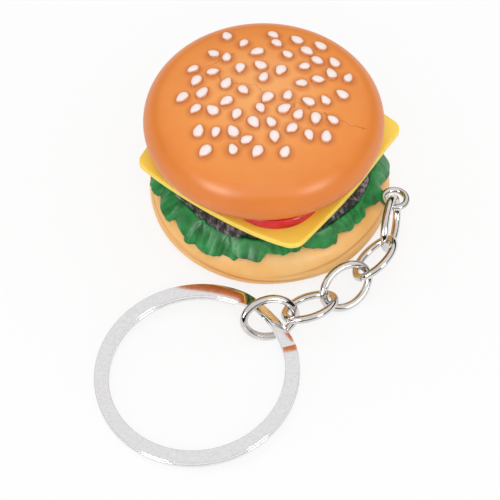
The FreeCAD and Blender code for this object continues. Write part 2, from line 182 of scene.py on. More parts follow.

# Moulded PVC, sprayed pale: a warm cream-orange with a slow mottle, satin, with a faint pebble from the
# mould. The grooves of the mould lines are darkened with painted shade. A mould's pebble is usually finer
# than this, and is drawn coarser so that it shows.
DOUGH_MOTTLE = 7.14
DOUGH_PEBBLE = 0.714
PEBBLE_DEPTH = 0.1

dough, tree, shader, place = start_material("moulded_pvc_pale_crust")
mottle = add_node(
    tree,
    "ShaderNodeTexNoise",
    {},
    {"Vector": place, "Scale": 1 / (DOUGH_MOTTLE * MM), "Detail": 4.0, "Roughness": 0.6},
)
colour = add_node(
    tree,
    "ShaderNodeValToRGB",
    {"stops": [(0.3, "#ffb861"), (0.55, "#ffc677"), (0.8, "#ffd495")]},
    {"Fac": mottle.outputs["Fac"]},
)
# Painted shade: the grooves of the mould lines are mixed towards a darker orange.
crease = add_node(tree, "ShaderNodeAttribute", {"attribute_name": "crease"}, {})
crease_shaded = add_node(
    tree,
    "ShaderNodeMix",
    {"data_type": "RGBA"},
    {"Factor": crease.outputs["Fac"], "A": colour.outputs["Color"], "B": linear("#d2843f")},
)
tree.links.new(crease_shaded.outputs["Result"], shader.inputs["Base Color"])
pebble = add_node(
    tree, "ShaderNodeTexNoise", {}, {"Vector": place, "Scale": 1 / (DOUGH_PEBBLE * MM), "Detail": 3.0}
)
dents = add_node(
    tree,
    "ShaderNodeBump",
    {},
    {"Strength": 0.12, "Distance": PEBBLE_DEPTH * MM, "Height": pebble.outputs["Fac"]},
)
tree.links.new(dents.outputs["Normal"], shader.inputs["Normal"])
shader.inputs["Roughness"].default_value = 0.42
dress(bottom_bun, dough, "burger", "bottom_bun")

# Lettuce: one moulded ring in green PVC, glued to the bun's seat. Its frill climbs round the patty, folds
# over and hangs on the bun's shoulder in overlapping leaves with lobed edges and raised ribs.
LETTUCE_REACH = 17.3
LETTUCE_HOLE = 6.2
LETTUCE_WALL = 0.5

# The ribs: their height, how many half turns of their wave lie in a radian, how far they stray from even
# spacing, and how far they fan out towards the edge.
RIB_HEIGHT = 0.08
RIB_WAVES = 30
RIB_STRAY = 1.5
RIB_FAN = 5

# Across a leaf: a flat bed under the patty, a climb to the crest, and the part that hangs on the bun.
BED_SHARE = 0.15
BED_RADIUS = 14.5
BED_HEIGHT = 7.93
CREST_SHARE = 0.35
CREST_RADIUS = 15.7
CREST_HEIGHT = 9.15
CREST_SWAY = 0.25
CREST_LIFT = 0.5
CLIMB_POWER = 0.7
DROOP = 0.3
EDGE_LOWEST = 6.2
EDGE_OVER_BUN = 0.45
LEAF_OVER_BUN = 0.38

# How far the frill reaches past LETTUCE_REACH, every 20 degrees.
FRILL = [0.4, 0.7, -0.1, 0.5, 0.9, 0.1, -0.3, 0.5, 1.0, 1.1, 0.6, 0.5, 1.0, 0.2, -0.7, -0.6, -0.6, 0.1]

# Where each leaf starts and ends in degrees, and how far it is lifted over its neighbours.
LEAVES = [
    (-173, -128, 0.5),
    (-138, -103, 0.0),
    (-113, -64, 0.45),
    (-76, -38, 0.0),
    (-50, 18, 0.5),
    (8, 60, 0.0),
    (50, 105, 0.45),
    (96, 150, 0.0),
    (140, 198, 0.2),
]
LEAF_END = 0.16
LEAF_END_IN = 1.7

# The edge's lobes: where their tips point in degrees, their depth, and the share of each that is notch.
LOBE_TIPS = [-164, -148, -131.5, -117.5, -95.5, -76, -56, -34.5, -16, 4]
LOBE_TIPS += [24, 43, 64, 83, 103, 124, 143, 163, 180]
LOBE_DEPTH = 0.95
LOBE_NOTCH = 0.16
LOBE_TIP_UP = 0.35
EDGE_ROUGH = 0.3
ROUGH_WAVES = 3.4
TEETH_WAVES = 13

# The folds of the part that hangs, from its root to its edge, and how far it swells in between.
FOLD_ROOT = 0.15
FOLD_GROWTH = 0.8
FOLD_WAVES = 6
HANG_SWELL = 0.3

# One leaf stands upright at the right, and the frill is lifted clear of the eye pin. Directions in degrees.
UPRIGHT_AT = 2.0
UPRIGHT_HALF = 16.0
UPRIGHT_RISE = 1.5
EYE_AZIMUTH = -16.0
EYE_HALF = 7.0
EYE_CLEAR = 7.15


def frill(degrees):
    """How far the frill reaches in a direction, eased between the places in FRILL."""
    spot = (degrees % 360) * len(FRILL) / 360
    low = int(spot) % len(FRILL)
    share = spot - int(spot)
    share = share * share * (3 - 2 * share)
    return LETTUCE_REACH + FRILL[low] * (1 - share) + FRILL[(low + 1) % len(FRILL)] * share


def lobe_share(degrees):
    """How far out the edge stands between a notch, at 0, and the tip of the lobe that follows it, at 1."""
    spot = (degrees - LOBE_TIPS[0]) % 360 + LOBE_TIPS[0]
    first = max(tip for tip in LOBE_TIPS if tip <= spot)
    last = min((tip for tip in LOBE_TIPS if tip > spot), default=LOBE_TIPS[0] + 360)
    share = (spot - first) / (last - first)
    if share < LOBE_NOTCH:
        return 1 - share / LOBE_NOTCH
    return math.sin(math.pi / 2 * (share - LOBE_NOTCH) / (1 - LOBE_NOTCH))


def shoulder(radius):
    """Height of the bottom bun's shoulder at a radius."""
    over = max(0.0, radius - (BUN_RADIUS - BUN_SHOULDER))
    return BUN_BELLY + math.sqrt(max(0.0, BUN_SHOULDER**2 - over**2))


def leaf_point(share, across, first, last, lift):
    """A point of one leaf: share runs along its arc and across from the core out to the lobed edge."""
    degrees = first + (last - first) * share
    t = math.radians(degrees)
    rough = round_noise(t, ROUGH_WAVES, lift * 20)
    teeth = round_noise(t, TEETH_WAVES, lift * 9)
    tip = lobe_share(degrees)
    lobe = LOBE_DEPTH * (tip - 0.5) + EDGE_ROUGH * rough + EDGE_ROUGH * teeth
    closing = min(1.0, share / LEAF_END, (1 - share) / LEAF_END)
    reach = frill(degrees) + lobe - LEAF_END_IN * (1 - closing) ** 2
    upright = math.exp(-(((degrees - UPRIGHT_AT) / UPRIGHT_HALF) ** 2))
    crest = CREST_HEIGHT + CREST_SWAY * math.sin(5 * t + 2 * lift) + CREST_SWAY * rough
    crest += CREST_LIFT * lift + UPRIGHT_RISE * upright
    if across < BED_SHARE:
        radius = LETTUCE_HOLE + (BED_RADIUS - LETTUCE_HOLE) * across / BED_SHARE
        height = BED_HEIGHT
    elif across < CREST_SHARE:
        step = (across - BED_SHARE) / (CREST_SHARE - BED_SHARE)
        radius = BED_RADIUS + (CREST_RADIUS - BED_RADIUS) * step**CLIMB_POWER
        height = BED_HEIGHT + (crest - BED_HEIGHT) * step * step
    else:
        step = (across - CREST_SHARE) / (1 - CREST_SHARE)
        radius = CREST_RADIUS + (reach - CREST_RADIUS) * step
        hang = max(shoulder(reach) + EDGE_OVER_BUN, EDGE_LOWEST + EDGE_ROUGH * rough)
        height = crest + (hang - crest) * ((1 - DROOP) * step + DROOP * step * step)
        fold = round_noise(t, FOLD_WAVES, 3 + lift * 9)
        height += (FOLD_ROOT + FOLD_GROWTH * step) * step * fold
        height += HANG_SWELL * step * (1 - step) + lift * step + LOBE_TIP_UP * tip * step**3
        eye_near = max(0.0, 1 - ((degrees - EYE_AZIMUTH) / EYE_HALF) ** 2)
        height = max(height, shoulder(radius) + LEAF_OVER_BUN + lift, EYE_CLEAR * eye_near)
    return radius * math.cos(t) * MM, radius * math.sin(t) * MM, height * MM


leaf_pieces = []
for number, (first, last, lift) in enumerate(LEAVES):
    bpy.ops.object.select_all(action="DESELECT")
    bpy.ops.mesh.primitive_grid_add(x_subdivisions=120, y_subdivisions=32, size=1.0, location=(0, 0, 0))
    leaf = bpy.context.object
    leaf.name = f"lettuce_leaf_{number + 1}"
    # Rib profile: it raises the ribs and also drives a painted highlight along them.
    ribs = leaf.data.attributes.new("rib", "FLOAT", "POINT")
    for vertex in leaf.data.vertices:
        share = vertex.co.x + 0.5
        across = vertex.co.y + 0.5
        angle = math.radians(first + (last - first) * share)
        fan = RIB_WAVES * angle + RIB_STRAY * math.sin(7 * angle) + RIB_FAN * across * math.sin(9 * angle)
        ribs.data[vertex.index].value = (1 - abs(math.sin(fan))) ** 2
        vertex.co = leaf_point(share, across, first, last, lift)
    for vertex in leaf.data.vertices:
        vertex.co.z += RIB_HEIGHT * MM * ribs.data[vertex.index].value
    bpy.ops.object.mode_set(mode="EDIT")
    bpy.ops.mesh.select_all(action="SELECT")
    bpy.ops.mesh.normals_make_consistent(inside=False)
    bpy.ops.object.mode_set(mode="OBJECT")
    wall = leaf.modifiers.new("wall", "SOLIDIFY")
    wall.thickness = LETTUCE_WALL * MM
    wall.offset = 0.0
    bpy.ops.object.modifier_apply(modifier="wall")
    leaf_pieces.append(leaf)


def join(pieces, name):
    """Join pieces into one object, smooth all over."""
    bpy.ops.object.select_all(action="DESELECT")
    for piece in pieces:
        piece.select_set(True)
    bpy.context.view_layer.objects.active = pieces[0]
    bpy.ops.object.join()
    joined = bpy.context.object
    joined.name = name
    bpy.ops.object.shade_smooth()
    return joined


lettuce = join(leaf_pieces, "lettuce_frill")

# Moulded PVC, green, satin, in blotches of deep and brighter green, with painted highlight on the ribs.
LEAF_BLOTCH = 2.38
BLOTCH_DEPTH = 0.2

leaf_green, tree, shader, place = start_material("moulded_pvc_leaf_green")
rib = add_node(tree, "ShaderNodeAttribute", {"attribute_name": "rib"}, {})
blotch = add_node(
    tree,
    "ShaderNodeTexNoise",
    {},
    {"Vector": place, "Scale": 1 / (LEAF_BLOTCH * MM), "Detail": 5.0, "Roughness": 0.65},
)
# Painted highlight: the ribs are pushed towards the brighter greens.
blend = add_node(
    tree,
    "ShaderNodeMath",
    {"operation": "MULTIPLY_ADD"},
    {0: rib.outputs["Fac"], 1: 0.16, 2: blotch.outputs["Fac"]},
)
colour = add_node(
    tree,
    "ShaderNodeValToRGB",
    {"stops": [(0.3, "#0a5220"), (0.52, "#167f35"), (0.8, "#319e50")]},
    {"Fac": blend.outputs[0]},
)
tree.links.new(colour.outputs["Color"], shader.inputs["Base Color"])
dents = add_node(
    tree,
    "ShaderNodeBump",
    {},
    {"Strength": 0.35, "Distance": BLOTCH_DEPTH * MM, "Height": blotch.outputs["Fac"]},
)
tree.links.new(dents.outputs["Normal"], shader.inputs["Normal"])
shader.inputs["Roughness"].default_value = 0.38
dress(lettuce, leaf_green, "burger", "lettuce")

# Patty: a thick round of dark PVC with a coarse, crumbled rim like minced meat, lying in the lettuce.
# It is turned, its rim is pushed in by coarse and fine lumps, and it bulges out where the mince spills.
PATTY_RADIUS = 15.4
PATTY_BOTTOM = 8.46
PATTY_TOP = 11.81
PATTY_EDGE = 1.4
PATTY_FLAT = 13.5
LUMP_WIDTH = 2.0
CRUMB_WIDTH = 2 / 3
LUMP_DEPTH = 0.5
CRUMB_DEPTH = 0.9
CRUMB_MEAN = 0.45
PUSH_MOST = 0.15
LUMP_SHADE = 0.15

# Where the mince bulges out over the lettuce: direction and half width in degrees, and how far.
BULGES = [(-152, 8, 0.8), (-128, 13, 0.7), (-108, 12, 1.35), (-64, 10, 1.3), (-34, 13, 0.6), (60, 40, 0.5)]
BULGE_HEIGHT = 10.75
BULGE_HALF = 0.95

patty_outline = [(0, PATTY_BOTTOM), (8, PATTY_BOTTOM)]
patty_outline += bend(PATTY_RADIUS - PATTY_EDGE, PATTY_BOTTOM + PATTY_EDGE, PATTY_EDGE, -90, 0, 12)
patty_outline += bend(PATTY_RADIUS - PATTY_EDGE, PATTY_TOP - PATTY_EDGE, PATTY_EDGE, 0, 90, 12)
patty_outline += [(8, PATTY_TOP), (0, PATTY_TOP)]
patty = turn("patty_mince", patty_outline, 420)
# How far each point of the rim stands out: painted highlight on the crumbs, painted shade in the pits.
relief_highlight_shades = patty.data.attributes.new("lump", "FLOAT", "POINT")
for vertex in patty.data.vertices:
    x, y, z = vertex.co / MM
    radius = math.hypot(x, y)
    if radius < PATTY_FLAT:
        continue
    coarse = noise.noise(Vector((x, y, z)) / LUMP_WIDTH)
    crumb = noise.turbulence(Vector((x, y, z)) / CRUMB_WIDTH, 4, True)
    push = LUMP_DEPTH * coarse - CRUMB_DEPTH * crumb + CRUMB_MEAN
    relief_highlight_shades.data[vertex.index].value = LUMP_SHADE + push
    around = math.degrees(math.atan2(y, x))
    bulge = sum(out * math.exp(-(((around - middle) / half) ** 2)) for middle, half, out in BULGES)
    bulge *= max(0.0, 1 - ((z - BULGE_HEIGHT) / BULGE_HALF) ** 2) * (1 + 0.5 * coarse)
    scale = 1 + (min(PUSH_MOST, push) + bulge) / radius * min(1.0, radius - PATTY_FLAT)
    vertex.co.x *= scale
    vertex.co.y *= scale

# Moulded PVC, near black-brown, dull, flecked grey: raised crumbs get painted highlight, pits painted
# shade.
MINCE_GRIT = 0.833
GRIT_DEPTH = 0.3

mince, tree, shader, place = start_material("moulded_pvc_mince_brown")
lump = add_node(tree, "ShaderNodeAttribute", {"attribute_name": "lump"}, {})
grit = add_node(
    tree,
    "ShaderNodeTexNoise",
    {},
    {"Vector": place, "Scale": 1 / (MINCE_GRIT * MM), "Detail": 6.0, "Roughness": 0.7},
)
blend = add_node(
    tree,
    "ShaderNodeMath",
    {"operation": "MULTIPLY_ADD"},
    {0: grit.outputs["Fac"], 1: 0.8, 2: lump.outputs["Fac"]},
)
colour = add_node(
    tree,
    "ShaderNodeValToRGB",
    {"stops": [(0.35, "#0b0909"), (0.55, "#292324"), (0.72, "#554d4e"), (0.9, "#8f8688")]},
    {"Fac": blend.outputs[0]},
)
tree.links.new(colour.outputs["Color"], shader.inputs["Base Color"])
dents = add_node(
    tree,
    "ShaderNodeBump",
    {},
    {"Strength": 0.8, "Distance": GRIT_DEPTH * MM, "Height": grit.outputs["Fac"]},
)
tree.links.new(dents.outputs["Normal"], shader.inputs["Normal"])
shader.inputs["Roughness"].default_value = 0.5
dress(patty, mince, "burger", "patty")

# Cheese slice: a thin square of yellow PVC with bowed sides and rounded corners, laid on the patty with its
# corners over the edge. The front right side is straighter than the others, and the front corner curls up.
CHEESE_MIDDLE = 15.69
CHEESE_SIDE = 88.0
CHEESE_CORNER = 2.0
CHEESE_CORNER_AT = 18.02
CHEESE_BOTTOM = 11.81
CHEESE_THICK = 1.1
CHEESE_TURN = 10.0
STRAIGHT_BOW = 0.45

# Half the angle that a corner's arc takes up beside a bowed side and beside the straight one, in degrees.
CORNER_BY_BOW = 3.44
CORNER_BY_STRAIGHT = 4.16


def cheese_edge(angle):
    """Distance from the middle to the slice's edge in a direction, measured from a corner."""
    off = abs((angle + math.pi / 4) % (math.pi / 2) - math.pi / 4)
    straight = -math.pi / 2 < angle < 0
    if off < math.radians(CORNER_BY_STRAIGHT if straight else CORNER_BY_BOW):
        sideways = CHEESE_CORNER_AT * math.sin(off)
        return CHEESE_CORNER_AT * math.cos(off) + math.sqrt(CHEESE_CORNER**2 - sideways**2)
    turn_in = math.pi / 4 - off
    if straight:
        side_at = CHEESE_CORNER_AT * math.sqrt(0.5) + CHEESE_CORNER
        return side_at / math.cos(turn_in) + STRAIGHT_BOW * math.cos(2 * turn_in) ** 2
    back = CHEESE_SIDE - CHEESE_MIDDLE
    return math.sqrt(CHEESE_SIDE**2 - (back * math.sin(turn_in)) ** 2) - back * math.cos(turn_in)


# A round blank is turned first, with rings of points inside its rim, and is then drawn out to the square.
CHEESE_RINGS = (0, 6, 12, 14, 15)
CHEESE_BLANK = 16.0
CHEESE_ROUND = 0.28
CHEESE_RIPPLE = 0.1
CHEESE_RIPPLE_WIDTH = 5.0
CURL = 0.038
CURL_AT = math.radians(-80)

cheese_outline = [(radius, 0) for radius in CHEESE_RINGS]
cheese_outline += bend(CHEESE_BLANK - CHEESE_ROUND, CHEESE_ROUND, CHEESE_ROUND, -90, 0, 4)
cheese_outline += bend(CHEESE_BLANK - CHEESE_ROUND, CHEESE_THICK - CHEESE_ROUND, CHEESE_ROUND, 0, 90, 4)
cheese_outline += [(radius, CHEESE_THICK) for radius in reversed(CHEESE_RINGS)]
cheese = turn("cheese_sheet", cheese_outline, 720)
for vertex in cheese.data.vertices:
    x, y, z = vertex.co / MM
    angle = math.atan2(y, x)
    radius = math.hypot(x, y) * cheese_edge(angle) / CHEESE_BLANK
    over = max(0.0, radius - PATTY_RADIUS)
    ripple = CHEESE_RIPPLE * min(1.0, over) * noise.noise(Vector((x, y, 0)) / CHEESE_RIPPLE_WIDTH)
    away = angle + math.radians(CHEESE_TURN)
    curl = CURL * max(0.0, math.cos(away - CURL_AT)) ** 4
    height = CHEESE_BOTTOM + z + curl * over**2 + abs(ripple)
    vertex.co = (radius * math.cos(away) * MM, radius * math.sin(away) * MM, height * MM)

# Moulded PVC, cheddar yellow: smooth and even, a little paler where the light has bleached it, soft satin.
CHEESE_CLOUD = 9.09
CHEESE_SKIN = 1.11

cheddar, tree, shader, place = start_material("moulded_pvc_cheddar")
cloud = add_node(
    tree, "ShaderNodeTexNoise", {}, {"Vector": place, "Scale": 1 / (CHEESE_CLOUD * MM), "Detail": 3.0}
)
colour = add_node(
    tree,
    "ShaderNodeValToRGB",
    {"stops": [(0.3, "#ffda4b"), (0.55, "#ffe157"), (0.8, "#ffe86b")]},
    {"Fac": cloud.outputs["Fac"]},
)
tree.links.new(colour.outputs["Color"], shader.inputs["Base Color"])
skin = add_node(
    tree, "ShaderNodeTexNoise", {}, {"Vector": place, "Scale": 1 / (CHEESE_SKIN * MM), "Detail": 2.0}
)
dents = add_node(
    tree,
    "ShaderNodeBump",
    {},
    {"Strength": 0.08, "Distance": PEBBLE_DEPTH * MM, "Height": skin.outputs["Fac"]},
)
tree.links.new(dents.outputs["Normal"], shader.inputs["Normal"])
shader.inputs["Roughness"].default_value = 0.36
dress(cheese, cheddar, "burger", "cheese_slice")

# Tomato slices: four rounds of glossy red PVC laid side by side on the cheese. Each is turned, with three
# fine grooves round its rim.
TOMATO_RADIUS = 7.0
TOMATO_THICK = 2.0
TOMATO_EDGE = 0.6
GROOVES = (0.72, 1.0, 1.28)
GROOVE_HALF = 0.09
GROOVE_DEPTH = 0.1

tomato_outline = [(0, 0), (4, 0)]
tomato_outline += bend(TOMATO_RADIUS - TOMATO_EDGE, TOMATO_EDGE, TOMATO_EDGE, -90, -5, 8)
for groove in GROOVES:
    tomato_outline.append((TOMATO_RADIUS, groove - GROOVE_HALF))
    tomato_outline.append((TOMATO_RADIUS - GROOVE_DEPTH, groove))
    tomato_outline.append((TOMATO_RADIUS, groove + GROOVE_HALF))
tomato_outline += bend(TOMATO_RADIUS - TOMATO_EDGE, TOMATO_THICK - TOMATO_EDGE, TOMATO_EDGE, 5, 90, 8)
tomato_outline += [(4, TOMATO_THICK), (0, TOMATO_THICK)]

# Moulded PVC, tomato red, glossy as if wet, with paler blotches.
TOMATO_BLOTCH = 3.03

flesh, tree, shader, place = start_material("moulded_pvc_tomato")
blotch = add_node(
    tree,
    "ShaderNodeTexNoise",
    {},
    {"Vector": place, "Scale": 1 / (TOMATO_BLOTCH * MM), "Detail": 5.0, "Roughness": 0.6},
)
colour = add_node(
    tree,
    "ShaderNodeValToRGB",
    {"stops": [(0.3, "#c3151d"), (0.5, "#dc222b"), (0.75, "#ee3a46")]},
    {"Fac": blotch.outputs["Fac"]},
)
tree.links.new(colour.outputs["Color"], shader.inputs["Base Color"])
dents = add_node(
    tree,
    "ShaderNodeBump",
    {},
    {"Strength": 0.15, "Distance": BLOTCH_DEPTH * MM, "Height": blotch.outputs["Fac"]},
)
tree.links.new(dents.outputs["Normal"], shader.inputs["Normal"])
shader.inputs["Roughness"].default_value = 0.25

for side in ("front", "right", "back", "left"):
    low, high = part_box(f"tomato_slice_{side}")
    tomato = turn(f"tomato_{side}", tomato_outline, 120)
    middle = Vector(((low[0] + high[0]) / 2, (low[1] + high[1]) / 2, low[2]))
    tomato.data.transform(Matrix.Translation(middle))
    dress(tomato, flesh, "burger", f"tomato_slice_{side}")

# Top bun: a domed PVC moulding, airbrushed in baked orange, glued on the tomato. It is turned from three
# arcs. Painted shadow darkens the skin round each seed, and fine hair cracks run through the paint on the
# dome.
TOP_RADIUS = 18.0
TOP_LOWER = 3.5
TOP_CROWN = 6.1
TOP_SHOULDER = 4.5
SHOULDER_RING = TOP_RADIUS - TOP_SHOULDER
CROWN_RADIUS = (SHOULDER_RING**2 + TOP_CROWN**2 - TOP_SHOULDER**2) / (2 * (TOP_CROWN - TOP_SHOULDER))
CROWN_TURN = math.degrees(math.asin(SHOULDER_RING / (CROWN_RADIUS - TOP_SHOULDER)))

low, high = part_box("top_bun")
top_middle = Vector(((low[0] + high[0]) / 2, (low[1] + high[1]) / 2, low[2])) / MM

# Each seed's place from the bun's axis, and its direction in degrees.
SEEDS = [
    (-5.5, 12.5, 110), (1.5, 12.5, 140), (5.0, 11.5, 140), (-3.0, 10.5, 60), (8.5, 10.5, 130),
    (2.0, 10.5, 130), (-7.5, 8.5, 150), (-1.0, 8.5, 30), (3.5, 8.0, 130), (6.5, 9.0, 130),
    (-5.5, 7.5, 90), (8.0, 7.0, 150), (10.5, 7.0, 120), (-10.5, 5.5, 20), (-0.5, 5.5, 130),
    (6.0, 5.5, 30), (10.0, 4.5, 120), (-3.5, 5.0, 80), (-7.5, 4.5, 0), (2.5, 4.5, 60),
    (12.5, 4.0, 70), (-10.0, 3.0, 70), (0.0, 3.0, 70), (8.0, 3.0, 170), (-5.5, 2.0, 60),
    (5.5, 2.0, 10), (-9.0, 0.5, 60), (-3.0, 0.5, 130), (11.5, 0.5, 140), (-12.0, 0.0, 40),
    (3.5, -0.5, 80), (0.5, -1.0, 60), (9.0, -1.0, 120), (-5.5, -1.5, 30), (6.5, -1.5, 150),
    (-10.0, -2.5, 50), (-7.5, -3.0, 140), (-0.5, -3.0, 110), (3.0, -3.0, 30), (-4.0, -4.0, 70),
    (5.0, -4.0, 70), (7.5, -4.5, 90), (10.0, -4.5, 140), (-1.5, -5.5, 110), (1.0, -5.5, 120),
    (4.0, -6.5, 50), (-9.5, -6.5, 80), (-7.0, -7.0, 70), (-4.5, -7.0, 110), (6.5, -7.5, 110),
    (9.0, -7.5, 90), (1.5, -8.0, 100), (-2.5, -8.5, 20), (-8.5, -10.0, 40), (-4.5, -10.0, 110),
    (-1.0, -10.5, 70), (3.0, -10.5, 70),
]

# The painted shadow round a seed: its reach, the width it fades over, how far it lies to the front of the
# seed, and how high above the bun's foot it starts.
SHADOW_REACH = 1.75
SHADOW_FADE = 0.75
SHADOW_SHIFT = 0.12
SHADOW_FROM = TOP_LOWER + 3

top_outline = [(0, 0), (8, 0)]
top_outline += bend(TOP_RADIUS - TOP_LOWER, TOP_LOWER, TOP_LOWER, -90, 0, 16)
top_outline += bend(SHOULDER_RING, TOP_LOWER, TOP_SHOULDER, 0, 90 - CROWN_TURN, 20)[1:]
crown_base = TOP_LOWER + TOP_CROWN - CROWN_RADIUS
top_outline += bend(0, crown_base, CROWN_RADIUS, 90 - CROWN_TURN, 90, 64)[1:]
top_bun = turn("top_bun_crust", top_outline, 300)
seed_shadows = top_bun.data.attributes.new("seed_dust", "FLOAT", "POINT")
for vertex in top_bun.data.vertices:
    x, y, z = vertex.co / MM
    if z > SHADOW_FROM:
        near = min(math.hypot(x - sx, y - sy + SHADOW_SHIFT) for sx, sy, _ in SEEDS)
        seed_shadows.data[vertex.index].value = max(0.0, min(1.0, (SHADOW_REACH - near) / SHADOW_FADE))
    vertex.co = (Vector((x, y, z)) + top_middle) * MM

# Moulded PVC, airbrushed: baked orange low on the side and paler towards the crown, a soft satin sheen.
# The hair cracks are drawn about 0.14 mm wide, twice their real width, so that they show.
BAKED_FROM = 14.9
BAKED_TO = 24.5
CRUST_CLOUD = 6.25
CRUST_PEBBLE = 0.769
CRACK_WANDER = 2.86
CRACK_DRIFT = 2.0
CRACK_HALF = 0.07

# Each crack's middle, its direction in degrees and half its length.
CRACKS = [(-2.2, 0.7, -30, 6.6), (8.6, -3.7, -17, 5.6), (-8.0, 6.5, 35, 3.5)]

crust, tree, shader, place = start_material("airbrushed_pvc_baked_crust")
height = add_node(tree, "ShaderNodeSeparateXYZ", {}, {"Vector": place}).outputs["Z"]
rise = add_node(
    tree,
    "ShaderNodeMapRange",
    {},
    {"Value": height, "From Min": BAKED_FROM * MM, "From Max": BAKED_TO * MM},
)
baked = add_node(
    tree,
    "ShaderNodeValToRGB",
    {"stops": [(0.0, "#d07d32"), (0.35, "#d9832d"), (0.75, "#dd8a37"), (0.9, "#e5994a"), (1.0, "#edae70")]},
    {"Fac": rise.outputs["Result"]},
)
cloud = add_node(
    tree,
    "ShaderNodeTexNoise",
    {},
    {"Vector": place, "Scale": 1 / (CRUST_CLOUD * MM), "Detail": 5.0, "Roughness": 0.6},
)
patches = add_node(
    tree,
    "ShaderNodeValToRGB",
    {"stops": [(0.3, "#d98a4c"), (0.7, "#f3a764")]},
    {"Fac": cloud.outputs["Fac"]},
)
mixed = add_node(
    tree,
    "ShaderNodeMix",
    {"data_type": "RGBA", "blend_type": "SOFT_LIGHT"},
    {"Factor": 0.5, "A": baked.outputs["Color"], "B": patches.outputs["Color"]},
)
# Painted shadow round each seed's foot, mixed towards a darker orange.
seed_shadow_node = add_node(tree, "ShaderNodeAttribute", {"attribute_name": "seed_dust"}, {})
seed_shadow_share = add_node(tree, "ShaderNodeMath", {"operation": "MULTIPLY"}, {0: seed_shadow_node.outputs["Fac"], 1: 0.55})
seed_shadowed = add_node(
    tree,
    "ShaderNodeMix",
    {"data_type": "RGBA"},
    {"Factor": seed_shadow_share.outputs[0], "A": mixed.outputs["Result"], "B": linear("#c4652a")},
)
wander = add_node(
    tree, "ShaderNodeTexNoise", {}, {"Vector": place, "Scale": 1 / (CRACK_WANDER * MM), "Detail": 4.0}
)
drift = add_node(
    tree,
    "ShaderNodeMapRange",
    {},
    {"Value": wander.outputs["Fac"], "To Min": -CRACK_DRIFT * MM, "To Max": CRACK_DRIFT * MM},
)
skin = seed_shadowed.outputs["Result"]
for x, y, degrees, half in CRACKS:
    local = add_node(
        tree,
        "ShaderNodeMapping",
        {"vector_type": "TEXTURE"},
        {"Vector": place, "Location": (x * MM, y * MM, 0), "Rotation": (0, 0, math.radians(degrees))},
    )
    spot = add_node(tree, "ShaderNodeSeparateXYZ", {}, {"Vector": local.outputs["Vector"]})
    across = add_node(
        tree, "ShaderNodeMath", {"operation": "ADD"}, {0: spot.outputs["Y"], 1: drift.outputs[0]}
    )
    on_line = add_node(
        tree, "ShaderNodeMath", {"operation": "COMPARE"}, {0: across.outputs[0], 1: 0.0, 2: CRACK_HALF * MM}
    )
    within = add_node(
        tree, "ShaderNodeMath", {"operation": "COMPARE"}, {0: spot.outputs["X"], 1: 0.0, 2: half * MM}
    )
    on_top = add_node(tree, "ShaderNodeMath", {"operation": "GREATER_THAN"}, {0: rise.outputs[0], 1: 0.5})
    both = add_node(
        tree, "ShaderNodeMath", {"operation": "MULTIPLY"}, {0: on_line.outputs[0], 1: within.outputs[0]}
    )
    share = add_node(
        tree, "ShaderNodeMath", {"operation": "MULTIPLY"}, {0: both.outputs[0], 1: on_top.outputs[0]}
    )
    faint = add_node(tree, "ShaderNodeMath", {"operation": "MULTIPLY"}, {0: share.outputs[0], 1: 0.6})
    cracked = add_node(
        tree,
        "ShaderNodeMix",
        {"data_type": "RGBA"},
        {"Factor": faint.outputs[0], "A": skin, "B": linear("#9c5322")},
    )
    skin = cracked.outputs["Result"]
tree.links.new(skin, shader.inputs["Base Color"])
pebble = add_node(
    tree, "ShaderNodeTexNoise", {}, {"Vector": place, "Scale": 1 / (CRUST_PEBBLE * MM), "Detail": 3.0}
)
dents = add_node(
    tree,
    "ShaderNodeBump",
    {},
    {"Strength": 0.06, "Distance": PEBBLE_DEPTH * MM, "Height": pebble.outputs["Fac"]},
)
tree.links.new(dents.outputs["Normal"], shader.inputs["Normal"])
shader.inputs["Roughness"].default_value = 0.36
shader.inputs["Specular IOR Level"].default_value = 0.55
dress(top_bun, crust, "burger", "top_bun")

# Sesame seeds: raised drops moulded with the dome, their tops wiped with off-white paint, so that the bun's
# own orange is left round their feet. One drop is modelled and copied to every place.
SEED_LENGTH = 2.5
SEED_WIDTH = 1.75
SEED_HEIGHT = 1.3
SEED_SUNK = 0.11
SEED_TAPER = 0.3
SEED_PINCH = 0.12
SEED_STRAY = 8
SEED_VARY = 0.1

bpy.ops.object.select_all(action="DESELECT")
bpy.ops.mesh.primitive_uv_sphere_add(segments=28, ring_count=16, radius=1.0, location=(0, 0, 0))
drop = bpy.context.object
drop.name = "sesame_drops"
paint = drop.data.attributes.new("paint", "FLOAT", "POINT")
for vertex in drop.data.vertices:
    x, y, z = vertex.co
    paint.data[vertex.index].value = z
    slim = (1 - SEED_TAPER * x) * (1 - SEED_PINCH * x * x)
    vertex.co = (x * SEED_LENGTH / 2 * MM, y * slim * SEED_WIDTH / 2 * MM, z * SEED_HEIGHT / 2 * MM)
dome_middle = top_middle + Vector((0, 0, crown_base))
copies = []
for number, (x, y, degrees) in enumerate(SEEDS):
    normal = Vector((x, y, math.sqrt(CROWN_RADIUS**2 - x * x - y * y))).normalized()
    heading = math.radians(degrees + 180 * (number % 2) + SEED_STRAY * math.sin(5 * number))
    along = Vector((math.cos(heading), math.sin(heading), 0))
    across = normal.cross(along).normalized()
    along = across.cross(normal)
    frame_turn = Matrix((along, across, normal)).transposed().to_4x4()
    grow = 1 + SEED_VARY * math.sin(3.7 * number)
    seed = drop.copy()
    seed.data = drop.data.copy()
    bpy.context.collection.objects.link(seed)
    spot = Matrix.Translation((dome_middle + normal * (CROWN_RADIUS - SEED_SUNK)) * MM)
    seed.data.transform(spot @ frame_turn @ Matrix.Diagonal((grow, grow, 1.0, 1.0)))
    copies.append(seed)
bpy.data.objects.remove(drop)
seeds = join(copies, "sesame_drops")

# Paint on PVC: off-white with a pink cast, wiped thin at each seed's edge, where the orange shows through.
PAINT_WEAR = 0.667

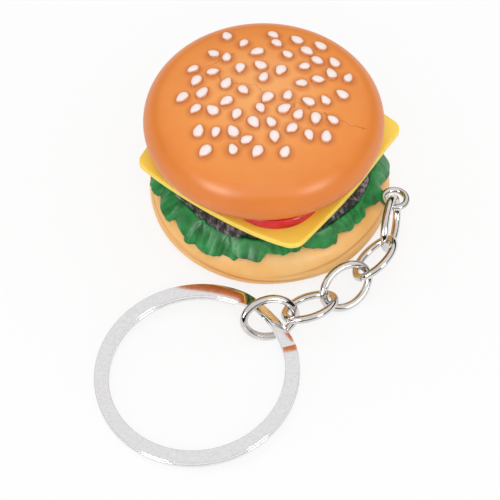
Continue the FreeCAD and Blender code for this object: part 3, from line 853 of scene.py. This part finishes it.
wiped, tree, shader, place = start_material("wiped_paint_on_pvc")
worn = add_node(
    tree, "ShaderNodeTexNoise", {}, {"Vector": place, "Scale": 1 / (PAINT_WEAR * MM), "Detail": 3.0}
)
level = add_node(tree, "ShaderNodeAttribute", {"attribute_name": "paint"}, {})
edge = add_node(
    tree,
    "ShaderNodeMath",
    {"operation": "MULTIPLY_ADD"},
    {0: worn.outputs["Fac"], 1: 0.35, 2: level.outputs["Fac"]},
)
colour = add_node(
    tree,
    "ShaderNodeValToRGB",
    {"stops": [(0.66, "#cd7f40"), (0.78, "#dca078"), (0.86, "#efd6cc"), (1.0, "#f6e6e2")]},
    {"Fac": edge.outputs[0]},
)
tree.links.new(colour.outputs["Color"], shader.inputs["Base Color"])
shader.inputs["Roughness"].default_value = 0.4
dress(seeds, wiped, "burger", "sesame_seeds")

# Eye pin: bright nickel on steel wire, glued into the bun and bent into a loop, modelled from a torus for
# the loop and a cylinder for the shank.
EYE_STAND = 19.8
EYE_HEIGHT = 6.3
EYE_LOOP = 1.8
EYE_WIRE = 0.5
EYE_SHANK = 5.2
EYE_TILT = 4.0
SMOOTH_BELOW = math.radians(40)

azimuth = math.radians(EYE_AZIMUTH)
tilt = math.radians(EYE_TILT)
upright = Vector((0, 0, 1))
eye_out = Vector((math.cos(azimuth), math.sin(azimuth), 0))
eye_side = Vector((math.sin(azimuth), -math.cos(azimuth), 0)) * math.cos(tilt) + upright * math.sin(tilt)
eye_middle = (eye_out * EYE_STAND + upright * EYE_HEIGHT) * MM
lie = Matrix((eye_side.cross(eye_out), eye_side, eye_out)).transposed().to_4x4()
bpy.ops.object.select_all(action="DESELECT")
bpy.ops.mesh.primitive_cylinder_add(
    vertices=32, radius=EYE_WIRE * MM, depth=EYE_SHANK * MM, location=(0, 0, 0)
)
shank = bpy.context.object
shank.data.transform(Matrix.Translation((0, 0, -(EYE_LOOP + EYE_SHANK / 2) * MM)))
bpy.ops.mesh.primitive_torus_add(
    major_segments=96,
    minor_segments=24,
    major_radius=EYE_LOOP * MM,
    minor_radius=EYE_WIRE * MM,
    location=(0, 0, 0),
)
eye = bpy.context.object
eye.name = "eye_wire"
eye.data.transform(Matrix.Rotation(math.pi / 2, 4, "Y"))
shank.select_set(True)
bpy.ops.object.join()
eye.data.transform(Matrix.Translation(eye_middle) @ lie)
bpy.ops.object.shade_smooth_by_angle(angle=SMOOTH_BELOW)

# Nickel plate on drawn wire: bright and even, with a faint haze from handling.
WIRE_HAZE = 2.0

nickel, tree, shader, place = start_material("nickel_plated_wire")
haze = add_node(
    tree, "ShaderNodeTexNoise", {}, {"Vector": place, "Scale": 1 / (WIRE_HAZE * MM), "Detail": 4.0}
)
colour = add_node(
    tree,
    "ShaderNodeValToRGB",
    {"stops": [(0.3, "#cfcbc8"), (0.7, "#e2dfdd")]},
    {"Fac": haze.outputs["Fac"]},
)
tree.links.new(colour.outputs["Color"], shader.inputs["Base Color"])
rub = add_node(
    tree,
    "ShaderNodeMapRange",
    {},
    {"Value": haze.outputs["Fac"], "From Min": 0.3, "From Max": 0.7, "To Min": 0.06, "To Max": 0.14},
)
tree.links.new(rub.outputs["Result"], shader.inputs["Roughness"])
shader.inputs["Metallic"].default_value = 1.0
dress(eye, nickel, "burger", "eye_pin")

# Chain links: ovals of the same plated wire, bent and closed end to end. Each is a torus drawn out to the
# oval's four arcs, then laid as the chain lies on the table.
LINK_REACH = 4.0
LINK_HALF = 3.1
LINK_END = 2.3
LINK_WIRE = 0.6
END_OFF = LINK_REACH - LINK_END
SIDE_ROUND = (END_OFF**2 + LINK_HALF**2 - LINK_END**2) / (2 * (LINK_HALF - LINK_END))
SIDE_OFF = SIDE_ROUND - LINK_HALF
END_TURN = math.atan2(SIDE_OFF, END_OFF)
TORUS = 2.0

# Heading, dip and roll of each link in degrees.
LINK_LIES = [(-103, 14, -78), (-125, 7, 42), (-144, 9, -56), (-152, 1, 28), (-166, -10, -63)]
hinges = {hinge["name"]: Vector(hinge["pos_m"]) for hinge in frame["record"]["behaviour"]["joints"]}

for number, (heading, dip, roll) in enumerate(LINK_LIES, 1):
    bpy.ops.object.select_all(action="DESELECT")
    bpy.ops.mesh.primitive_torus_add(
        major_segments=128,
        minor_segments=24,
        major_radius=TORUS,
        minor_radius=LINK_WIRE,
        location=(0, 0, 0),
    )
    link = bpy.context.object
    link.name = f"wire_link_{number}"
    for vertex in link.data.vertices:
        x, y, z = vertex.co
        around = math.hypot(x, y)
        x /= around
        y /= around
        if abs(x) > math.cos(END_TURN):
            reach = LINK_END + around - TORUS
            vertex.co = ((math.copysign(END_OFF, x) + reach * x) * MM, reach * y * MM, z * MM)
        else:
            reach = SIDE_ROUND + around - TORUS
            vertex.co = (reach * x * MM, (reach * y - math.copysign(SIDE_OFF, y)) * MM, z * MM)
    lie = Matrix.Rotation(math.radians(heading), 4, "Z")
    lie = lie @ Matrix.Rotation(math.radians(dip), 4, "Y") @ Matrix.Rotation(math.radians(roll), 4, "X")
    if number < len(LINK_LIES):
        link_middle = hinges[f"link_hinge_{number + 1}"] - lie.col[0].to_3d() * LINK_REACH * MM
    else:
        link_middle = hinges["ring_hinge"]
    link.data.transform(Matrix.Translation(link_middle) @ lie)
    bpy.ops.object.shade_smooth()
    dress(link, nickel, f"link_{number}", f"chain_link_{number}")

# Split ring: flat nickel-plated spring wire wound twice round, with little room between its turns. A
# sloping step joins them, and the last chain link hangs there. The upper turn arches up a little behind
# its cut end.
RING_OUTSIDE = 15.0
RING_BAND = 2.1
RING_TURN = 0.62
RING_RISE = 0.72
WIRE_ROUND = 0.11
WIRE_STEPS = 560

# Directions round the ring in degrees: the top and the foot of the step, how far each turn runs on from
# there, and how far behind the cut end the arch is highest and gone.
STEP_TOP = 202.0
STEP_FOOT = 158.0
STEP_ROLL = math.radians(38)
RING_SWEEP = 313.0
ARCH_HEIGHT = 0.24
ARCH_AT = 9.0
ARCH_GONE = 45.0

mounts = {mount["name"]: mount for mount in frame["record"]["mounts"]}
ring_middle = Vector(mounts["key_ring"]["pos_m"])
ring_up = Vector(mounts["key_ring"]["axis"]).normalized()
ring_along = (ring_middle - hinges["ring_hinge"]).normalized()
ring_across = ring_up.cross(ring_along)

section = []
half_wide = RING_BAND / 2 - WIRE_ROUND
half_high = RING_TURN / 2 - WIRE_ROUND
for x, z, first in ((1, -1, -90), (1, 1, 0), (-1, 1, 90), (-1, -1, 180)):
    section += bend(x * half_wide, z * half_high, WIRE_ROUND, first, first + 90, 4)
bpy.ops.object.select_all(action="DESELECT")
bpy.ops.mesh.primitive_grid_add(
    x_subdivisions=WIRE_STEPS, y_subdivisions=len(section), size=1.0, location=(0, 0, 0)
)
ring = bpy.context.object
ring.name = "split_ring_wire"
for vertex in ring.data.vertices:
    run = vertex.co.x + 0.5
    corner = round((vertex.co.y + 0.5) * len(section)) % len(section)
    degrees = STEP_TOP + RING_SWEEP - run * (2 * RING_SWEEP + STEP_TOP - STEP_FOOT)
    share = min(1.0, max(0.0, (STEP_TOP - degrees) / (STEP_TOP - STEP_FOOT)))
    level = RING_RISE / 2 * math.cos(math.pi * share)
    past_end = STEP_TOP + RING_SWEEP - degrees
    if past_end < ARCH_AT:
        level += ARCH_HEIGHT * math.sin(math.pi / 2 * past_end / ARCH_AT)
    elif past_end < ARCH_GONE:
        level += ARCH_HEIGHT * math.cos(math.pi / 2 * (past_end - ARCH_AT) / (ARCH_GONE - ARCH_AT)) ** 2
    roll = STEP_ROLL * math.sin(math.pi * share)
    wide, high = section[corner]
    radius = RING_OUTSIDE - RING_BAND / 2 + wide * math.cos(roll) + high * math.sin(roll)
    level += high * math.cos(roll) - wide * math.sin(roll)
    angle = math.radians(degrees)
    flat = ring_along * math.cos(angle) + ring_across * math.sin(angle)
    vertex.co = ring_middle + (flat * radius + ring_up * level) * MM
bpy.ops.object.mode_set(mode="EDIT")
bpy.ops.mesh.select_all(action="SELECT")
bpy.ops.mesh.remove_doubles(threshold=WELD)
bpy.ops.mesh.select_all(action="SELECT")
bpy.ops.mesh.fill_holes(sides=0)
bpy.ops.mesh.select_all(action="SELECT")
bpy.ops.mesh.normals_make_consistent(inside=False)
bpy.ops.object.mode_set(mode="OBJECT")
bpy.ops.object.shade_smooth_by_angle(angle=SMOOTH_BELOW)

# Nickel plate over rolled wire: brighter than the chain, with a grain that dulls the flat in small patches.
# The grain of rolled wire is usually finer than this, and is drawn coarser so that it shows.
PLATE_GRAIN = 0.5

plate, tree, shader, place = start_material("nickel_plated_flat_wire")
grain = add_node(
    tree,
    "ShaderNodeTexNoise",
    {},
    {"Vector": place, "Scale": 1 / (PLATE_GRAIN * MM), "Detail": 6.0, "Roughness": 0.7},
)
colour = add_node(
    tree,
    "ShaderNodeValToRGB",
    {"stops": [(0.3, "#e2e0e0"), (0.7, "#f2f1f2")]},
    {"Fac": grain.outputs["Fac"]},
)
tree.links.new(colour.outputs["Color"], shader.inputs["Base Color"])
rub = add_node(
    tree,
    "ShaderNodeMapRange",
    {},
    {"Value": grain.outputs["Fac"], "From Min": 0.3, "From Max": 0.7, "To Min": 0.08, "To Max": 0.17},
)
tree.links.new(rub.outputs["Result"], shader.inputs["Roughness"])
shader.inputs["Metallic"].default_value = 1.0
dress(ring, plate, "ring", "split_ring")

# The table that the charm lies on: a flat white sheet just under the foot of the bun. It shows white to the
# camera and in the metal, and keeps the shadow.
TABLE_SIDE = 3000
TABLE_DROP = 0.05
TABLE_GLOW = 0.8

bpy.ops.object.select_all(action="DESELECT")
bpy.ops.mesh.primitive_plane_add(size=TABLE_SIDE * MM, location=(0, 0, -TABLE_DROP * MM))
floor = bpy.context.object
floor.name = "white_table"
paper, tree, shader, _ = start_material("white_paper")
shader.inputs["Base Color"].default_value = linear("#f4f4f4")
shader.inputs["Roughness"].default_value = 0.9
glow = add_node(tree, "ShaderNodeEmission", {}, {"Color": linear("#ffffff"), "Strength": 1.0})
path = add_node(tree, "ShaderNodeLightPath", {}, {})
seen = add_node(
    tree,
    "ShaderNodeMath",
    {"operation": "MAXIMUM"},
    {0: path.outputs["Is Camera Ray"], 1: path.outputs["Is Glossy Ray"]},
)
part = add_node(tree, "ShaderNodeMath", {"operation": "MULTIPLY"}, {0: seen.outputs[0], 1: TABLE_GLOW})
both = add_node(
    tree, "ShaderNodeMixShader", {}, {0: part.outputs[0], 1: shader.outputs[0], 2: glow.outputs[0]}
)
tree.links.new(both.outputs[0], tree.nodes["Material Output"].inputs["Surface"])
floor.data.materials.append(paper)

# Studio light: a pale room, a soft box in front and one overhead that only light the surfaces, and one at
# each side that shows only in the gloss. In the gloss the room is dark up to about 20 degrees and white
# above 27, so that the wire has dark edges against the table.
world = bpy.data.worlds.new("white_room")
bpy.context.scene.world = world
world.use_nodes = True
tree = world.node_tree
path = add_node(tree, "ShaderNodeLightPath", {}, {})
seen = add_node(
    tree,
    "ShaderNodeMath",
    {"operation": "MAXIMUM"},
    {0: path.outputs["Is Camera Ray"], 1: path.outputs["Is Transmission Ray"]},
)
where = add_node(tree, "ShaderNodeTexCoord", {}, {}).outputs["Generated"]
up = add_node(tree, "ShaderNodeSeparateXYZ", {}, {"Vector": where}).outputs["Z"]
room = add_node(
    tree,
    "ShaderNodeValToRGB",
    {"stops": [(0.0, "#a0a0a0"), (0.03, "#060606"), (0.34, "#1c1a1a"), (0.45, "#f4f4f4")]},
    {"Fac": up},
)
mirrored = add_node(
    tree,
    "ShaderNodeMix",
    {"data_type": "RGBA"},
    {"Factor": path.outputs["Is Glossy Ray"], "A": linear("#e4e4e4"), "B": room.outputs["Color"]},
)
lit = add_node(
    tree,
    "ShaderNodeMix",
    {"data_type": "RGBA"},
    {"Factor": seen.outputs[0], "A": mirrored.outputs["Result"], "B": linear("#ffffff")},
)
back = tree.nodes["Background"]
tree.links.new(lit.outputs["Result"], back.inputs["Color"])
back.inputs["Strength"].default_value = 1.0

# Each box's place and width in metres, its power in watts, and whether it shows in the gloss.
SOFT_BOXES = [
    ("left_box", (-0.29, -0.35, 0.22), 0.16, 0.95, True),
    ("right_box", (0.31, -0.32, 0.21), 0.14, 0.6, True),
    ("front_box", (0.0, -0.34, 0.44), 0.30, 0.7, False),
    ("top_box", (0.0, 0.04, 0.50), 0.34, 0.3, False),
]
LIGHT_AIM = Vector((0, -0.01, 0.01))
for name, spot, wide, watts, in_gloss in SOFT_BOXES:
    lamp = bpy.data.lights.new(name, "AREA")
    lamp.size = wide
    lamp.energy = watts
    holder = bpy.data.objects.new(name, lamp)
    bpy.context.collection.objects.link(holder)
    holder.location = spot
    holder.visible_glossy = in_gloss
    holder.visible_diffuse = not in_gloss
    holder.rotation_euler = (LIGHT_AIM - Vector(spot)).to_track_quat("-Z", "Y").to_euler()

# The camera: a long lens from the front, looking down a little over half way, as in the photograph.
CAMERA_RISE = math.radians(53.25)
CAMERA_AIM = Vector((-3.04, -10.51, 0.0)) * MM
CAMERA_DISTANCE = 307.05 * MM
lens = bpy.data.cameras.new("camera")
lens.sensor_width = 36.0
lens.lens = 144.0
lens.clip_start = 0.01
camera = bpy.data.objects.new("camera", lens)
bpy.context.collection.objects.link(camera)
camera.location = CAMERA_AIM + CAMERA_DISTANCE * Vector((0, -math.cos(CAMERA_RISE), math.sin(CAMERA_RISE)))
camera.rotation_euler = (math.pi / 2 - CAMERA_RISE, 0, 0)
bpy.context.scene.camera = camera
bpy.context.scene.view_settings.view_transform = "Standard"
